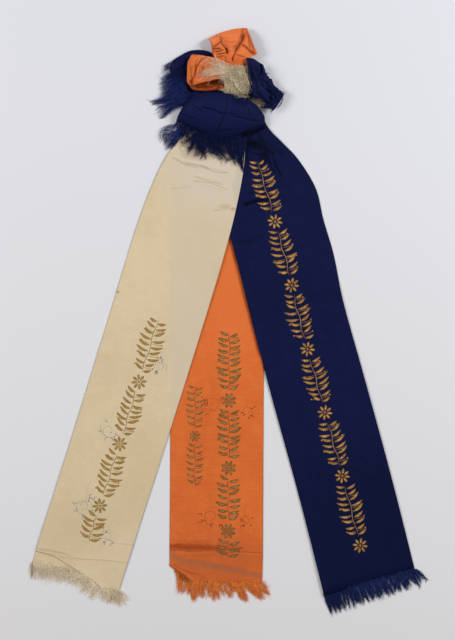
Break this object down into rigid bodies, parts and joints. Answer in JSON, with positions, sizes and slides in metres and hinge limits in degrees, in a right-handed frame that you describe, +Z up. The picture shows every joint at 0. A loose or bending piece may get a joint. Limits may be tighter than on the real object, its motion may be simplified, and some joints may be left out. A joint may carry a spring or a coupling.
{
  "type": "honorary sash",
  "caption": "Laid-out honorary sash: wide cream, orange and navy silk tails with fringed ends, fanning from a rosette of puffed loops and frayed ends.",
  "frame": {"origin": "middle of the laid-out sash, on the surface that it lies on", "axes": "+Y from the tails' free ends to the rosette, +X to the navy tail's side, +Z up"},
  "size_m": [0.635, 0.9337, 0.0346],
  "materials": {
    "cream_silk": "fine-ribbed silk, aged",
    "orange_silk": "fine-ribbed silk",
    "navy_silk": "fine-ribbed silk",
    "cream_thread": "unravelled threads"
  },
  "bodies": {
    "root": {"orange_tail": "orange_silk", "orange_fringe": "orange_silk", "navy_tail": "navy_silk", "navy_fringe": "navy_silk", "cream_tail": "cream_silk", "cream_fringe": "cream_thread", "cream_end_fringe": "cream_thread", "knot": "navy_silk", "left_navy_end": "navy_silk", "left_navy_fringe": "navy_silk", "right_navy_loop": "navy_silk", "top_orange_loop": "orange_silk", "side_orange_loop": "orange_silk", "navy_wrap": "navy_silk", "navy_wrap_fringe": "navy_silk", "cream_plume": "cream_thread", "cream_tuft": "cream_thread"}
  },
  "joints": []
}
